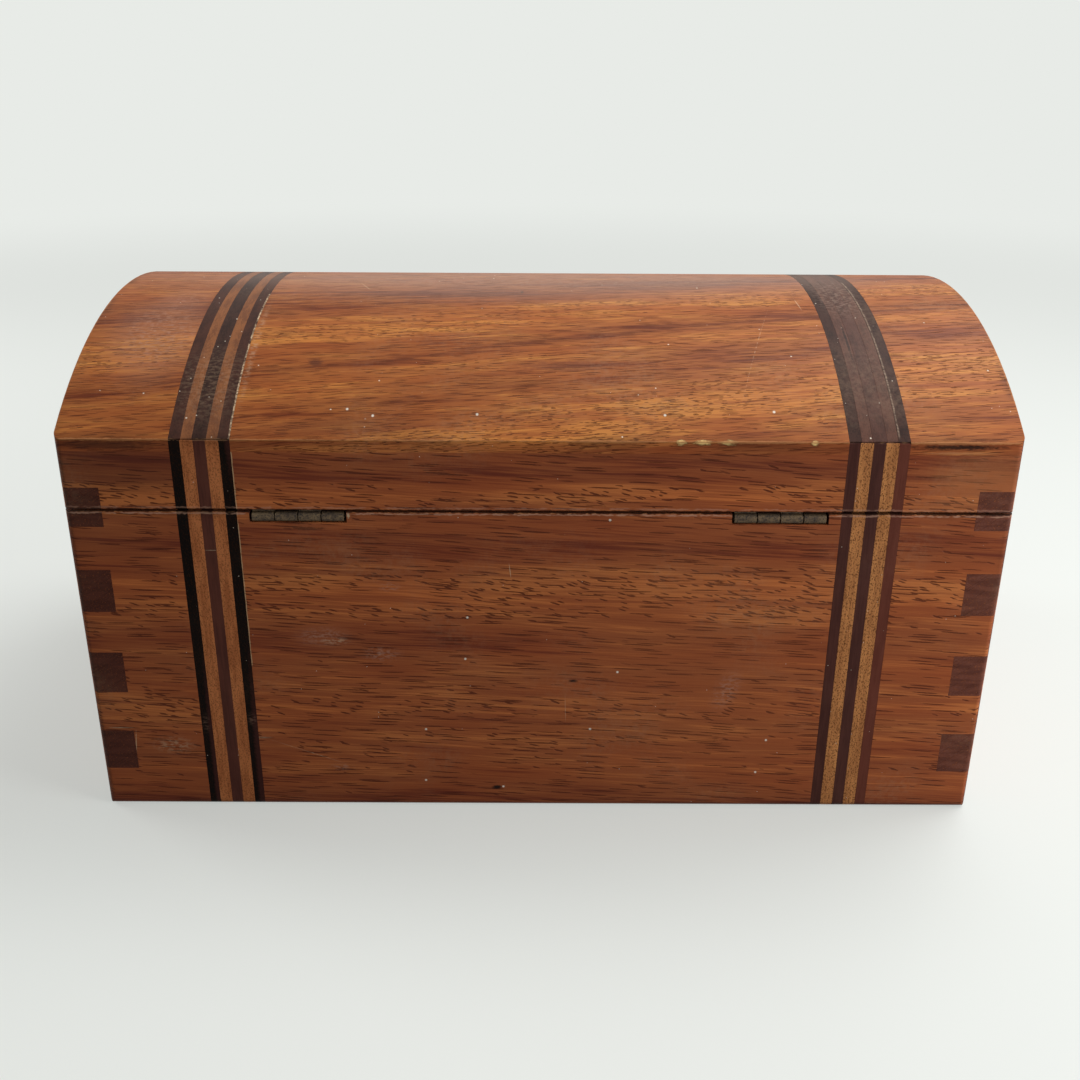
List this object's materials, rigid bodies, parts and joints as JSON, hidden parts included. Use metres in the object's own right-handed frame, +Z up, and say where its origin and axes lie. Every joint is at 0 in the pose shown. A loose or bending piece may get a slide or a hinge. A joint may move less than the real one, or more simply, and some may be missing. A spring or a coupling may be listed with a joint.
{
  "type": "puzzle box",
  "caption": "Dome-topped wooden puzzle box with box-jointed corners, inlaid bands, a hinged lid and a hidden tilt-pin lock.",
  "frame": {"origin": "middle of the underside, on the surface the box stands on", "axes": "+Z up, +X along the box's length, +Y towards the hinged rear; the front faces -Y"},
  "size_m": [0.19, 0.1202, 0.105],
  "materials": {
    "koa": "satin oiled, figured reddish brown",
    "floor_wood": "satin",
    "lock_wood": "satin",
    "dark_inlay": "satin, close-grained dark wood",
    "light_inlay": "satin, open-pored tan wood",
    "centre_inlay": "satin, dark reddish wood",
    "brass": "aged"
  },
  "bodies": {
    "body": {"rear_wall": "koa", "front_wall": "koa", "left_wall": "koa", "right_wall": "koa", "floor_panel": "floor_wood", "rear_left_edge_strips": "dark_inlay", "rear_left_light_strips": "light_inlay", "rear_left_centre_strip": "centre_inlay", "rear_right_edge_strips": "dark_inlay", "rear_right_light_strips": "light_inlay", "rear_right_centre_strip": "centre_inlay", "rear_right_key_block": "centre_inlay", "front_left_edge_strips": "dark_inlay", "front_left_light_strips": "light_inlay", "front_left_centre_strip": "centre_inlay", "front_right_edge_strips": "dark_inlay", "front_right_light_strips": "light_inlay", "front_right_centre_strip": "centre_inlay", "left_hinge_body_leaf": "brass", "left_hinge_pin": "brass", "right_hinge_body_leaf": "brass", "right_hinge_pin": "brass", "hinge_body_screws": "brass", "lock_block": "lock_wood"},
    "lid": {"lid_rear_rail": "koa", "lid_front_rail": "koa", "lid_left_rail": "koa", "lid_right_rail": "koa", "dome_board": "koa", "lid_rear_left_edge_strips": "dark_inlay", "lid_rear_left_light_strips": "light_inlay", "lid_rear_left_centre_strip": "centre_inlay", "lid_rear_right_edge_strips": "dark_inlay", "lid_rear_right_light_strips": "light_inlay", "lid_rear_right_centre_strip": "centre_inlay", "lid_front_left_edge_strips": "dark_inlay", "lid_front_left_light_strips": "light_inlay", "lid_front_left_centre_strip": "centre_inlay", "lid_front_right_edge_strips": "dark_inlay", "lid_front_right_light_strips": "light_inlay", "lid_front_right_centre_strip": "centre_inlay", "dome_left_edge_strips": "dark_inlay", "dome_left_light_strips": "light_inlay", "dome_left_centre_strip": "centre_inlay", "dome_right_edge_strips": "dark_inlay", "dome_right_light_strips": "light_inlay", "dome_right_centre_strip": "centre_inlay", "left_hinge_lid_leaf": "brass", "right_hinge_lid_leaf": "brass", "hinge_lid_screws": "brass", "lock_tongue": "brass", "lock_tongue_screws": "brass"},
    "tilt_pin": {"lock_pin": "brass"}
  },
  "joints": [
    {"name": "lid_hinge", "type": "hinge", "parent": "body", "child": "lid", "pos_m": [0, 0.0592, 0.0688], "axis": [-1, 0, 0], "range_deg": [0, 125]},
    {"name": "lock_pin_slide", "type": "slide", "parent": "body", "child": "tilt_pin", "axis": [0, -1, 0], "range_m": [0, 0.0037]}
  ]
}
